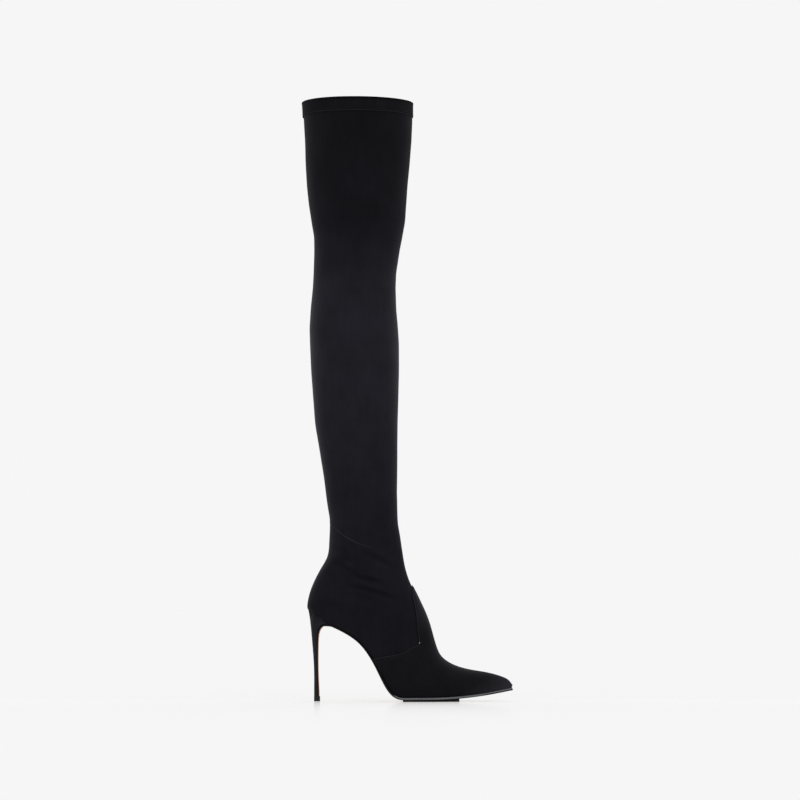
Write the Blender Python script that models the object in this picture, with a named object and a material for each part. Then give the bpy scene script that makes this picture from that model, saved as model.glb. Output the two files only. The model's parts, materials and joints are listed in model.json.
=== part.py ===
"""Right-foot thigh-high boot in stretch suede, standing empty on its heel tip and its tread.

X runs from the heel to the toe, +Y is the inner side of the foot, Z is up from the floor, in metres.
The origin is the middle of the heel tip's floor face. Sections of the upper are planes through Y: each
runs from a point on the sole line or the back seam (back) to a point on the instep or shin (front).
"""
import math
from collections import namedtuple

import bpy
from mathutils import Vector

# Driving sizes of the foot
FOOT_LENGTH = 0.2246
BALL_WIDTH = 0.0735
INSTEP_HEIGHT = 0.075
TREAD_LINE = 0.0050
SEAT_HEIGHT = 0.1006

# Driving sizes of the shaft
RIM_HEIGHT = 0.6640
CALF_DEPTH = 0.0985
CALF_WIDTH = 0.1000
LEG_AXIS = 0.0525

# Walls and plates
UPPER_WALL = 0.0016
VAMP_THICKNESS = 0.0011
BAND_THICKNESS = 0.0007
BAND_HEIGHT = 0.0140
INSOLE_THICKNESS = 0.0020
SOLE_THICKNESS = 0.0027
WAIST_THICKNESS = 0.0013
SOLE_OVERHANG = 0.0006
TREAD_INSET = 0.0035

# Heel
TIP_CENTRE = 0.0108
TIP_HEIGHT = 0.0056
TIP_LENGTH = 0.0067
TIP_WIDTH = 0.0074
TIP_CHAMFER = 0.0004
HEEL_BACK_INSET = 0.0013
HEEL_SEAT_LENGTH = 0.0183

# Clearances between pieces
GAP = 0.0003
WRAP_GAP = 0.0005
SEAT_GAP = 0.0006
TOE_FORWARD = 0.5  # how much further forward than sideways the vamp stands off the toe tip
TOE_REACH = 1.4  # how much further forward than sideways the sole stands out past the toe tip

# The inside of the toe is set back, less and less over this many times the setback, down to this section
TOE_LINING_SETBACK = 0.0042
TOE_LINING_FADE = 5.0
TOE_LINING_LAST = 8

# Points round each section: the half ring runs from the back point to the front point
HALF_RING = 18
RING = 2 * HALF_RING
FEATHER_POINT = 3
BELLY_POINT = 6
BACK_SQUARENESS = 2.2
SLOPE_STEP = 0.6  # sections and ring points between the points that give the outward direction
EDGE_TURN = 0.7  # ring points past the feather edge where the outward direction is taken

# The opening under the foot, and how far inside its end sections the insole ends, in section spacings
OPENING_POINT = 2
OPENING_FIRST = 4
OPENING_LAST = 19
INSOLE_FRONT_SHARE = 0.15
INSOLE_BACK_SHARE = 0.35

# The sole's thin waist ends at this share of the foot length and thickens over the next share
WAIST_END_SHARE = 0.28
WAIST_FADE_SHARE = 0.12
BRIDGE_AHEAD = 0.0062  # where the waist's leather leaves the upper for the heel's breast
FLAP_WIDTH_SHARE = 0.94  # of the heel's own width

# The tread's ends as shares of the foot length
TREAD_BACK_SHARE = 0.472
TREAD_FRONT_SHARE = 0.748
TREAD_STEPS = 10
PLATE_COLUMNS = (-1.0, -0.5, 0.0, 0.5, 1.0)
SOLE_COLUMNS = (-1.0, -0.6, 0.0, 0.6, 1.0)

Foot = namedtuple("Foot", "back_x back_z front_x height feather side belly crest swing roundness")
# back_x and front_x are shares of the foot length, back_z of the seat's rise over the tread line, height
# of the instep height; feather, side and swing are shares of the ball width, belly is the widest level.
FOOT_ROWS = (
    Foot(0.997, 0.100, 1.001, 0.036, 0.04, 0.05, 0.40, 2.0, 0.042, 0.0),
    Foot(0.992, 0.098, 0.997, 0.072, 0.10, 0.11, 0.36, 2.0, 0.042, 0.0),
    Foot(0.978, 0.092, 0.985, 0.120, 0.17, 0.19, 0.32, 2.0, 0.042, 0.0),
    Foot(0.948, 0.079, 0.957, 0.177, 0.28, 0.30, 0.30, 2.0, 0.042, 0.0),
    Foot(0.899, 0.059, 0.912, 0.244, 0.42, 0.45, 0.28, 2.0, 0.040, 0.0),
    Foot(0.842, 0.039, 0.858, 0.303, 0.56, 0.60, 0.26, 2.0, 0.036, 0.0),
    Foot(0.775, 0.021, 0.800, 0.355, 0.69, 0.74, 0.24, 2.0, 0.031, 0.0),
    Foot(0.708, 0.008, 0.740, 0.419, 0.80, 0.86, 0.22, 2.0, 0.026, 0.0),
    Foot(0.646, 0.002, 0.689, 0.500, 0.88, 0.94, 0.20, 1.9, 0.018, 0.0),
    Foot(0.583, 0.000, 0.650, 0.608, 0.93, 1.00, 0.19, 1.8, 0.009, 0.0),
    Foot(0.521, 0.000, 0.629, 0.750, 0.93, 1.00, 0.18, 1.7, -0.004, 0.0),
    Foot(0.472, 0.000, 0.614, 0.905, 0.89, 0.97, 0.17, 1.7, -0.017, 0.0),
    Foot(0.432, 0.030, 0.598, 1.039, 0.83, 0.94, 0.17, 1.7, -0.026, 0.0),
    Foot(0.394, 0.139, 0.578, 1.060, 0.76, 0.90, 0.18, 1.7, -0.031, 0.0),
    Foot(0.354, 0.315, 0.557, 0.972, 0.70, 0.86, 0.20, 1.8, -0.031, 0.0),
    Foot(0.314, 0.474, 0.535, 0.910, 0.67, 0.83, 0.22, 1.8, -0.027, 0.0),
    Foot(0.263, 0.623, 0.512, 0.853, 0.65, 0.81, 0.25, 1.9, -0.019, 0.0),
    Foot(0.200, 0.734, 0.496, 0.830, 0.66, 0.80, 0.28, 1.9, -0.010, 0.0),
    Foot(0.138, 0.809, 0.485, 0.843, 0.67, 0.80, 0.31, 2.0, -0.004, 0.0),
    Foot(0.080, 0.856, 0.476, 0.909, 0.63, 0.80, 0.34, 2.0, 0.0, 0.15),
    Foot(0.038, 0.933, 0.469, 0.944, 0.50, 0.80, 0.37, 2.0, 0.0, 0.50),
    Foot(0.005, 1.000, 0.463, 0.979, 0.32, 0.81, 0.40, 2.0, 0.0, 0.85),
)

Leg = namedtuple("Leg", "up tilt back front side")
# up is the share of the shaft's rise from the seat to the rim, tilt how much of the last foot section's
# slant is left, back and front are shares of the calf depth from the leg's axis, side of the calf width.
LEG_ROWS = (
    Leg(0.012, 1.000, 0.533, 0.513, 0.60),
    Leg(0.035, 0.925, 0.506, 0.500, 0.60),
    Leg(0.060, 0.810, 0.448, 0.490, 0.61),
    Leg(0.084, 0.705, 0.376, 0.484, 0.62),
    Leg(0.106, 0.620, 0.307, 0.481, 0.63),
    Leg(0.131, 0.540, 0.290, 0.479, 0.64),
    Leg(0.155, 0.475, 0.283, 0.477, 0.65),
    Leg(0.178, 0.420, 0.283, 0.475, 0.66),
    Leg(0.215, 0.315, 0.316, 0.477, 0.69),
    Leg(0.262, 0.190, 0.350, 0.479, 0.74),
    Leg(0.317, 0.110, 0.401, 0.480, 0.81),
    Leg(0.366, 0.040, 0.448, 0.483, 0.88),
    Leg(0.421, 0.000, 0.473, 0.491, 0.94),
    Leg(0.473, 0.000, 0.495, 0.498, 0.98),
    Leg(0.524, 0.000, 0.508, 0.497, 1.00),
    Leg(0.556, 0.000, 0.513, 0.486, 1.00),
    Leg(0.594, 0.000, 0.500, 0.467, 0.99),
    Leg(0.636, 0.000, 0.477, 0.460, 0.97),
    Leg(0.665, 0.000, 0.468, 0.467, 0.97),
    Leg(0.709, 0.000, 0.461, 0.505, 0.99),
    Leg(0.736, 0.000, 0.464, 0.535, 1.02),
    Leg(0.767, 0.000, 0.493, 0.566, 1.07),
    Leg(0.801, 0.000, 0.523, 0.580, 1.11),
    Leg(0.837, 0.000, 0.545, 0.594, 1.14),
    Leg(0.881, 0.000, 0.560, 0.618, 1.18),
    Leg(0.925, 0.000, 0.567, 0.638, 1.21),
    Leg(0.964, 0.000, 0.580, 0.648, 1.23),
    Leg(1.000, 0.000, 0.593, 0.648, 1.24),
)
LEG_BELLY = 0.48
LEG_CREST = 2.0

Heel = namedtuple("Heel", "back_x back_z front_x front_z width")
# back_x and front_x are shares of the seat length ahead of the heel's back corner, back_z and front_z
# shares of the height from the tip up to the seat line, width is a share of the heel's width at the seat.
HEEL_ROWS = (
    Heel(0.34, 0.000, 0.58, 0.000, 0.145),
    Heel(0.34, 0.090, 0.57, 0.095, 0.143),
    Heel(0.34, 0.237, 0.54, 0.235, 0.143),
    Heel(0.32, 0.392, 0.52, 0.407, 0.155),
    Heel(0.27, 0.540, 0.52, 0.570, 0.185),
    Heel(0.21, 0.680, 0.53, 0.709, 0.250),
    Heel(0.17, 0.765, 0.57, 0.805, 0.350),
    Heel(0.13, 0.838, 0.66, 0.878, 0.500),
    Heel(0.09, 0.902, 0.79, 0.935, 0.700),
    Heel(0.05, 0.957, 0.94, 0.976, 0.880),
)
HEEL_WIDEST = 0.6
HEEL_BACK_SQUARENESS = 2.2
HEEL_BREAST_SQUARENESS = 4.0
TIP_POINTS = 20

# The heel's top follows the upper at these sections, out to these points round the ring.
SEAT_SECTIONS = (18.55, 19.0, 19.5, 20.0, 20.5, 21.0)
SEAT_REACH = (3.0, 3.0, 3.0, 2.7, 2.1, 1.2)

# The section at which the vamp ends, for each point round the half ring: wings along the feather edge,
# the corner at point 12, then the tongue up to the crest of the instep at point 18.
VAMP_ENDS = {3: 14.75, 4: 14.5, 5: 14.25, 6: 14.0, 7: 13.7, 8: 13.35, 9: 13.0, 10: 12.65, 11: 12.3,
             12: 12.0, 13: 13.05, 14: 13.9, 15: 15.0, 16: 15.5, 17: 15.8, 18: 15.9}


def srgb(red, green, blue):
    """Turn 0-255 screen values into Blender's linear colour."""
    def linear(value):
        share = value / 255
        return share / 12.92 if share <= 0.04045 else ((share + 0.055) / 1.055) ** 2.4
    return (linear(red), linear(green), linear(blue), 1.0)


def material(name, colour, roughness):
    """A non-metal Principled material."""
    made = bpy.data.materials.new(name)
    made.use_nodes = True
    shader = made.node_tree.nodes["Principled BSDF"]
    shader.inputs["Base Color"].default_value = colour
    shader.inputs["Roughness"].default_value = roughness
    shader.inputs["Metallic"].default_value = 0.0
    made.diffuse_color = colour
    made.roughness = roughness
    return made


def add_object(name, points, faces, finish):
    """Make one object from points and faces, moved so that the heel tip's middle is the origin."""
    mesh = bpy.data.meshes.new(name)
    mesh.from_pydata([point - Vector((TIP_CENTRE, 0, 0)) for point in points], [], faces)
    made = bpy.data.objects.new(name, mesh)
    bpy.context.scene.collection.objects.link(made)
    mesh.materials.append(finish)
    for face in mesh.polygons:
        face.use_smooth = True
    return made


def solid_between(name, outside, inside, cells, finish):
    """Close the wall between two point sets that share their keys, along every open edge of the cells."""
    keys = list(outside)
    index = {key: place for place, key in enumerate(keys)}
    shift = len(keys)
    points = [outside[key] for key in keys] + [inside[key] for key in keys]
    faces = [tuple(index[key] for key in cell) for cell in cells]
    faces += [tuple(index[key] + shift for key in reversed(cell)) for cell in cells]
    directed = {(cell[i], cell[(i + 1) % len(cell)]) for cell in cells for i in range(len(cell))}
    for start, end in sorted(directed):
        if (end, start) not in directed:
            faces.append((index[end], index[start], index[start] + shift, index[end] + shift))
    return add_object(name, points, faces, finish)


def wall_faces(rings):
    """Faces between equal rings of point numbers, listed from the floor up and turning to the left."""
    faces = []
    for low, high in zip(rings, rings[1:]):
        for k in range(len(low)):
            after = (k + 1) % len(low)
            faces.append((low[k], low[after], high[after], high[k]))
    return faces


def cap_cells(count):
    """Strips across a ring of points whose mirror pairs are k and count - k."""
    half = count // 2
    cells = [(0, 1, count - 1)]
    cells += [(k, k + 1, count - k - 1, count - k) for k in range(1, half - 1)]
    cells.append((half - 1, half, half + 1))
    return cells


def arc_power(value, squareness):
    """A sine or cosine bent so that a circle becomes a rounder or squarer oval."""
    return math.copysign(abs(value) ** (2 / squareness), value)


class Section:
    """One plane section of the upper's outside, from its back point to its front point."""

    def __init__(self, back, front, feather, side, belly, crest, swing, roundness):
        self.back = back
        self.front = front
        self.feather = feather
        self.side = side
        self.belly = belly
        self.crest = crest
        self.swing = swing
        self.roundness = roundness
        self.height = (front - back).length
        self.up = (front - back).normalized()

    def flat_bottomed(self, k):
        """Width and level of point k on a section with a flat bottom and a feather edge."""
        if k <= FEATHER_POINT:
            return self.feather * k / FEATHER_POINT, 0.0
        if k <= BELLY_POINT:
            turn = (k - FEATHER_POINT) / (BELLY_POINT - FEATHER_POINT)
            width = self.feather + (self.side - self.feather) * math.sin(turn * math.pi / 2)
            return width, self.belly * turn
        angle = (k - BELLY_POINT) / (HALF_RING - BELLY_POINT) * math.pi / 2
        width = self.side * arc_power(math.cos(angle), self.crest)
        return width, self.belly + (1 - self.belly) * arc_power(math.sin(angle), self.crest)

    def oval(self, k):
        """Width and level of point k on an oval section."""
        angle = (k / HALF_RING - 0.5) * math.pi
        squareness = BACK_SQUARENESS if angle < 0 else self.crest
        width = self.side * arc_power(math.cos(angle), squareness)
        reach = self.belly if angle < 0 else 1 - self.belly
        return width, self.belly + reach * arc_power(math.sin(angle), squareness)

    def point(self, k, inset):
        """Point k round the ring, drawn in by inset on every side."""
        half = k if k <= HALF_RING else RING - k
        flat_width, flat_level = self.flat_bottomed(half)
        oval_width, oval_level = self.oval(half)
        width = flat_width + (oval_width - flat_width) * self.roundness
        level = flat_level + (oval_level - flat_level) * self.roundness
        width *= 1 - inset / self.side
        rise = inset + level * (self.height - 2 * inset)
        hand = 1 if k <= HALF_RING else -1
        return self.back + self.up * rise + Vector((0, self.swing + hand * width, 0))


def seat_rise():
    return SEAT_HEIGHT - TREAD_LINE


def foot_section(row):
    back = Vector((row.back_x * FOOT_LENGTH, 0, TREAD_LINE + row.back_z * seat_rise()))
    front = Vector((row.front_x * FOOT_LENGTH, 0, back.z + row.height * INSTEP_HEIGHT))
    half = BALL_WIDTH / 2
    return Section(back, front, row.feather * half, row.side * half, row.belly, row.crest,
                   row.swing * BALL_WIDTH, row.roundness)


def leg_section(row):
    """A shaft section; the first ones keep part of the slant of the foot's last section."""
    slant = FOOT_ROWS[-1].height * INSTEP_HEIGHT
    level = SEAT_HEIGHT + row.up * (RIM_HEIGHT - SEAT_HEIGHT)
    back = Vector((LEG_AXIS - row.back * CALF_DEPTH, 0, level))
    front = Vector((LEG_AXIS + row.front * CALF_DEPTH, 0, level + row.tilt * slant))
    side = row.side * CALF_WIDTH / 2
    return Section(back, front, side / 2, side, LEG_BELLY, LEG_CREST, 0.0, 1.0)


SECTIONS = [foot_section(row) for row in FOOT_ROWS] + [leg_section(row) for row in LEG_ROWS]


def on_upper(s, k, inset=0.0):
    """A point on the upper's faceted outside at section s and ring point k, both with fractions."""
    row = min(int(s), len(SECTIONS) - 2)
    column = int(math.floor(k))
    along = s - row
    round_ = k - column
    corners = [SECTIONS[row + i].point((column + j) % RING, inset) for i in (0, 1) for j in (0, 1)]
    low = corners[0].lerp(corners[1], round_)
    high = corners[2].lerp(corners[3], round_)
    return low.lerp(high, along)


def outward(s, k):
    """The upper's outward direction at section s and ring point k."""
    last = len(SECTIONS) - 1
    along = on_upper(min(s + SLOPE_STEP, last), k) - on_upper(max(s - SLOPE_STEP, 0), k)
    round_ = on_upper(s, k + SLOPE_STEP) - on_upper(s, k - SLOPE_STEP)
    return along.cross(round_).normalized()


def over_upper(s, k, lift):
    return on_upper(s, k) + outward(s, k) * lift


def over_foot(s, k, lift):
    """A point above the foot's side or toe, level with the sole line at the feather edge."""
    edge = FEATHER_POINT + EDGE_TURN
    direction = outward(s, min(max(k, edge), RING - edge))
    down = sole_line(s)[1]
    if k <= FEATHER_POINT or k >= RING - FEATHER_POINT:
        direction = (direction - down * direction.dot(down)).normalized()
    if s == 0:
        direction = direction + Vector((-down.z, 0, down.x)) * TOE_FORWARD
    return on_upper(s, k) + direction * lift - down * GAP * max(0.0, 1 - s)


def lined_section(s):
    """Where the inside of section s lies: near the toe it is set back so that the wall stays whole."""
    tip = SECTIONS[0].back.x
    place = SECTIONS[s].back.x
    fade = TOE_LINING_FADE * TOE_LINING_SETBACK
    wanted = place - TOE_LINING_SETBACK * max(0.0, 1 - (tip - place) / fade)
    if s > TOE_LINING_LAST:
        return float(s)
    row = 0
    while SECTIONS[row + 1].back.x > wanted:
        row += 1
    return row + (SECTIONS[row].back.x - wanted) / (SECTIONS[row].back.x - SECTIONS[row + 1].back.x)


def build_upper(finish):
    """The hollow upper: foot and shaft in one wall, open at the rim and under the insole."""
    rows = range(len(SECTIONS))
    outside = {(s, k): on_upper(s, k) for s in rows for k in range(RING)}
    inside = {(s, k): on_upper(lined_section(s), k, UPPER_WALL) for s in rows for k in range(RING)}
    cells = []
    for s in rows[:-1]:
        for k in range(RING):
            across = min(k, RING - 1 - k)
            if OPENING_FIRST <= s < OPENING_LAST and across < OPENING_POINT:
                continue
            after = (k + 1) % RING
            cells.append(((s, after), (s, k), (s + 1, k), (s + 1, after)))
    cells += [tuple((0, k) for k in cell) for cell in cap_cells(RING)]
    return solid_between("upper", outside, inside, cells, finish)


def build_vamp(finish):
    """The front cover with its wings along the sole and its tongue up the instep."""
    ring = range(FEATHER_POINT, RING - FEATHER_POINT + 1)
    corner = min(VAMP_ENDS.values())
    rows = [float(s) for s in range(int(corner))]
    while rows[-1] < max(VAMP_ENDS.values()):
        rows.append(rows[-1] + (1.0 if rows[-1] < corner else 0.5))
    lines = [[(k, min(s, VAMP_ENDS[min(k, RING - k)])) for k in ring] for s in rows]
    cells = front_cap(lines[0])
    for first, second in zip(lines, lines[1:]):
        for a, b, c, d in zip(first, first[1:], second[1:], second):
            cell = tuple(dict.fromkeys((d, c, b, a)))
            if len(cell) > 2:
                cells.append(cell)
    keys = dict.fromkeys(key for line in lines for key in line)
    inside = {(k, s): over_foot(s, k, WRAP_GAP) for k, s in keys}
    outside = {(k, s): over_foot(s, k, WRAP_GAP + VAMP_THICKNESS) for k, s in keys}
    return solid_between("vamp", outside, inside, cells, finish)


def front_cap(toe):
    """Strips that close the vamp's first row across the toe."""
    cells = []
    low, high = 0, len(toe) - 1
    while high - low > 2:
        cells.append((toe[low], toe[low + 1], toe[high - 1], toe[high]))
        low += 1
        high -= 1
    cells.append((toe[low], toe[high - 1], toe[high]))
    return cells


def build_band(finish):
    """The folded band round the collar."""
    top = len(SECTIONS) - 1
    low = RIM_HEIGHT - BAND_HEIGHT
    start = top - 1
    while SECTIONS[start].back.z > low:
        start -= 1
    below, above = SECTIONS[start].back.z, SECTIONS[start + 1].back.z
    rows = [start + (low - below) / (above - below)] + list(range(start + 1, top + 1))
    inside = {}
    outside = {}
    for r, s in enumerate(rows):
        for k in range(RING):
            inside[(r, k)] = over_upper(s, k, GAP)
            outside[(r, k)] = over_upper(s, k, GAP + BAND_THICKNESS)
    cells = []
    for r in range(len(rows) - 1):
        for k in range(RING):
            after = (k + 1) % RING
            cells.append(((r, after), (r, k), (r + 1, k), (r + 1, after)))
    return solid_between("collar_band", outside, inside, cells, finish)


def sole_line(s):
    """The upper's lowest point at foot section s, with fractions, and the downward direction there."""
    row = min(int(s), len(FOOT_ROWS) - 2)
    here = SECTIONS[row].back.lerp(SECTIONS[row + 1].back, s - row)
    before = SECTIONS[max(row - (1 if s == row else 0), 0)].back
    run = (before - SECTIONS[row + 1].back).normalized()
    return here, Vector((run.z, 0, -run.x))


def between_sections(s, size):
    """A size of the foot sections, such as their feather width, at section s with fractions."""
    row = min(int(s), len(FOOT_ROWS) - 2)
    low, high = getattr(SECTIONS[row], size), getattr(SECTIONS[row + 1], size)
    return low + (high - low) * (s - row)


def swing_at(s):
    return between_sections(s, "swing")


def feather_at(s):
    return between_sections(s, "feather")


def side_at(s):
    return between_sections(s, "side")


def plate_cells(rows, columns):
    """Cells of a plate whose rows run from the toe back and whose columns run towards +Y."""
    cells = []
    for r in range(rows - 1):
        for c in range(columns - 1):
            cells.append(((r, c), (r, c + 1), (r + 1, c + 1), (r + 1, c)))
    return cells


def build_insole(finish):
    """The insole board, lying in the opening under the foot."""
    share = OPENING_POINT / FEATHER_POINT
    low = {}
    high = {}
    rows = [OPENING_FIRST + INSOLE_FRONT_SHARE]
    rows += list(range(OPENING_FIRST + 1, OPENING_LAST))
    rows.append(OPENING_LAST - INSOLE_BACK_SHARE)
    for r, s in enumerate(rows):
        here, down = sole_line(s)
        half = feather_at(s) * share * (1 - UPPER_WALL / side_at(s)) - 2 * GAP
        for c, column in enumerate(PLATE_COLUMNS):
            spot = here + Vector((0, swing_at(s) + column * half, 0))
            low[(r, c)] = spot
            high[(r, c)] = spot - down * INSOLE_THICKNESS
    cells = plate_cells(len(rows), len(PLATE_COLUMNS))
    return solid_between("insole", high, low, cells, finish)


def heel_base():
    return TIP_HEIGHT + GAP


def seat_level(x):
    """Height of the upper's lowest line above the floor at x, from the toe to the back of the seat."""
    line = [section.back for section in SECTIONS[:len(FOOT_ROWS)]]
    for ahead, behind in zip(line, line[1:]):
        if x >= behind.x:
            share = (x - behind.x) / (ahead.x - behind.x)
            return behind.z + (ahead.z - behind.z) * share
    return line[-1].z


def heel_spot(share_x, share_z):
    """A point of the heel's side outline."""
    x = HEEL_BACK_INSET + share_x * HEEL_SEAT_LENGTH
    top = seat_level(x) - GAP
    return Vector((x, 0, heel_base() + share_z * (top - heel_base())))


def heel_half_width():
    return feather_at(SEAT_SECTIONS[0])


def seat_patch():
    """The heel's top as rows of points under the upper's seat, from the breast to the back."""
    rows = []
    for s, reach in zip(SEAT_SECTIONS, SEAT_REACH):
        columns = [reach * c / FEATHER_POINT for c in range(-FEATHER_POINT, FEATHER_POINT + 1)]
        rows.append([over_upper(s, k % RING, SEAT_GAP) for k in columns])
    return rows


def patch_outline(rows, columns):
    """Row and column of each point round a patch, from the first corner round and back to it."""
    ring = [(0, c) for c in range(columns)]
    ring += [(r, columns - 1) for r in range(1, rows - 1)]
    ring += [(rows - 1, c) for c in range(columns - 1, -1, -1)]
    ring += [(r, 0) for r in range(rows - 2, 0, -1)]
    return ring


def heel_ring(back, front, half_width, turns):
    """A plane ring round the heel, rounded behind and flatter at the breast, one point for each turn."""
    middle = back.lerp(front, HEEL_WIDEST)
    ring = []
    for turn in turns:
        rounded = math.cos(turn) < 0
        squareness = HEEL_BACK_SQUARENESS if rounded else HEEL_BREAST_SQUARENESS
        reach = middle - back if rounded else front - middle
        side = Vector((0, half_width * arc_power(math.sin(turn), squareness), 0))
        ring.append(middle + reach * arc_power(math.cos(turn), squareness) + side)
    return ring


def build_heel(finish):
    """The slim covered heel, cupped on top to carry the seat."""
    patch = seat_patch()
    outline = patch_outline(len(patch), len(patch[0]))
    seat = [patch[r][c] for r, c in outline]
    back, front = min(point.x for point in seat), max(point.x for point in seat)
    middle = back + (front - back) * HEEL_WIDEST
    turns = []
    for point in seat:
        reach = middle - back if point.x < middle else front - middle
        turns.append(math.atan2(point.y / heel_half_width(), (point.x - middle) / reach))
    rings = []
    for row in HEEL_ROWS:
        low = heel_spot(row.back_x, row.back_z)
        high = heel_spot(row.front_x, row.front_z)
        rings.append(heel_ring(low, high, row.width * heel_half_width(), turns))
    count = len(outline)
    points = [point for ring in rings for point in ring]
    top = len(points)
    points += [point for row in patch for point in row]
    places = [list(range(r * count, (r + 1) * count)) for r in range(len(rings))]
    places.append([top + r * len(patch[0]) + c for r, c in outline])
    faces = [tuple(reversed(places[0]))] + wall_faces(places)
    for r in range(len(patch) - 1):
        for c in range(len(patch[0]) - 1):
            corner = top + r * len(patch[0]) + c
            faces.append((corner, corner + 1, corner + len(patch[0]) + 1, corner + len(patch[0])))
    return add_object("heel", points, faces, finish)


def build_heel_tip(finish):
    """The rubber top piece under the heel."""
    turns = [2 * math.pi * k / TIP_POINTS for k in range(TIP_POINTS)]
    rings = []
    for z, inset in ((0.0, TIP_CHAMFER), (TIP_CHAMFER, 0.0), (TIP_HEIGHT, 0.0)):
        back = Vector((TIP_CENTRE - TIP_LENGTH / 2 + inset, 0, z))
        front = Vector((TIP_CENTRE + TIP_LENGTH / 2 - inset, 0, z))
        rings.append(heel_ring(back, front, TIP_WIDTH / 2 - inset, turns))
    points = [point for ring in rings for point in ring]
    places = [list(range(r * TIP_POINTS, (r + 1) * TIP_POINTS)) for r in range(len(rings))]
    faces = [tuple(reversed(places[0])), tuple(places[-1])] + wall_faces(places)
    return add_object("heel_tip", points, faces, finish)


def flap_stations():
    """Inner points of the leather on the heel's breast with half widths, from the top down."""
    stations = []
    for row in reversed(HEEL_ROWS):
        clear = Vector((GAP, 0, -GAP * row.front_z))
        stations.append((heel_spot(row.front_x, row.front_z) + clear, row.width * heel_half_width()))
    return stations


def sole_stations():
    """Inner points, half widths, thicknesses and sideways shifts of the outsole from toe to heel tip."""
    stations = []
    for s in range(OPENING_LAST):
        here, down = sole_line(float(s))
        cover = WRAP_GAP + VAMP_THICKNESS + SOLE_OVERHANG
        front = min(1.0, max(0.0, (here.x / FOOT_LENGTH - WAIST_END_SHARE) / WAIST_FADE_SHARE))
        half = feather_at(s) + cover * front
        thickness = WAIST_THICKNESS + (SOLE_THICKNESS - WAIST_THICKNESS) * front
        reach = TOE_REACH * cover if s == 0 else 0.0
        spot = here + down * GAP + Vector((-down.z, 0, down.x)) * reach
        stations.append((spot, half, thickness, swing_at(s)))
    ahead = heel_spot(1.0, 1.0).x + BRIDGE_AHEAD
    bridge = Vector((ahead, 0, seat_level(ahead) - GAP))
    stations.append((bridge, heel_half_width(), WAIST_THICKNESS, 0.0))
    for spot, half in flap_stations():
        stations.append((spot, half * FLAP_WIDTH_SHARE, WAIST_THICKNESS, 0.0))
    return stations


def build_outsole(finish):
    """The leather outsole, thin at the waist, carried on down the heel's breast."""
    stations = sole_stations()
    low = {}
    high = {}
    for r, (spot, half, thickness, swing) in enumerate(stations):
        before = stations[max(r - 1, 0)][0]
        after = stations[min(r + 1, len(stations) - 1)][0]
        run = (before - after).normalized()
        down = Vector((run.z, 0, -run.x))
        for c, column in enumerate(SOLE_COLUMNS):
            place = spot + Vector((0, swing + column * half, 0))
            high[(r, c)] = place
            low[(r, c)] = place + down * thickness
    cells = plate_cells(len(stations), len(SOLE_COLUMNS))
    return solid_between("outsole", high, low, cells, finish)


def section_at(x):
    """Foot section number, with its fraction, whose sole point lies at x."""
    row = 0
    while SECTIONS[row + 1].back.x > x:
        row += 1
    return row + (SECTIONS[row].back.x - x) / (SECTIONS[row].back.x - SECTIONS[row + 1].back.x)


def build_tread(finish):
    """The rubber tread under the forefoot, flat on the floor."""
    low = {}
    high = {}
    back = TREAD_BACK_SHARE * FOOT_LENGTH
    front = TREAD_FRONT_SHARE * FOOT_LENGTH
    for r in range(TREAD_STEPS + 1):
        x = front + (back - front) * r / TREAD_STEPS
        s = section_at(x)
        half = feather_at(s) - TREAD_INSET
        top = seat_level(x) - SOLE_THICKNESS - 2 * GAP
        for c, column in enumerate(PLATE_COLUMNS):
            y = swing_at(s) + column * half
            low[(r, c)] = Vector((x, y, 0))
            high[(r, c)] = Vector((x, y, top))
    cells = plate_cells(TREAD_STEPS + 1, len(PLATE_COLUMNS))
    return solid_between("tread", high, low, cells, finish)


def build():
    for made in list(bpy.data.objects):
        bpy.data.objects.remove(made)
    suede = material("black_suede", srgb(24, 24, 28), 0.95)
    vamp_suede = material("black_suede_vamp", srgb(22, 22, 25), 0.95)
    band_suede = material("black_suede_band", srgb(22, 22, 24), 0.92)
    board = material("insole_leather", srgb(52, 46, 44), 0.7)
    sole_leather = material("sole_leather", srgb(196, 150, 128), 0.45)
    heel_cover = material("heel_suede", srgb(23, 23, 26), 0.92)
    rubber = material("black_rubber", srgb(20, 20, 21), 0.6)
    tread_rubber = material("tread_rubber", srgb(24, 24, 25), 0.75)
    build_upper(suede)
    build_vamp(vamp_suede)
    build_band(band_suede)
    build_insole(board)
    build_outsole(sole_leather)
    build_tread(tread_rubber)
    build_heel(heel_cover)
    build_heel_tip(rubber)


build()
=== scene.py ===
"""Thigh-high boot in black stretch suede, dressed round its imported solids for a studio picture.

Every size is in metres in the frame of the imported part: X from the heel to the toe, +Y to the inner side of
the foot, Z up from the floor, with the origin under the middle of the heel tip.
"""

import json
import logging
import math
from dataclasses import dataclass, field
from enum import Enum, IntEnum
from functools import cache

import bmesh
import bpy
import numpy as np
from mathutils import Matrix, Vector
from mathutils.bvhtree import BVHTree

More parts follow.
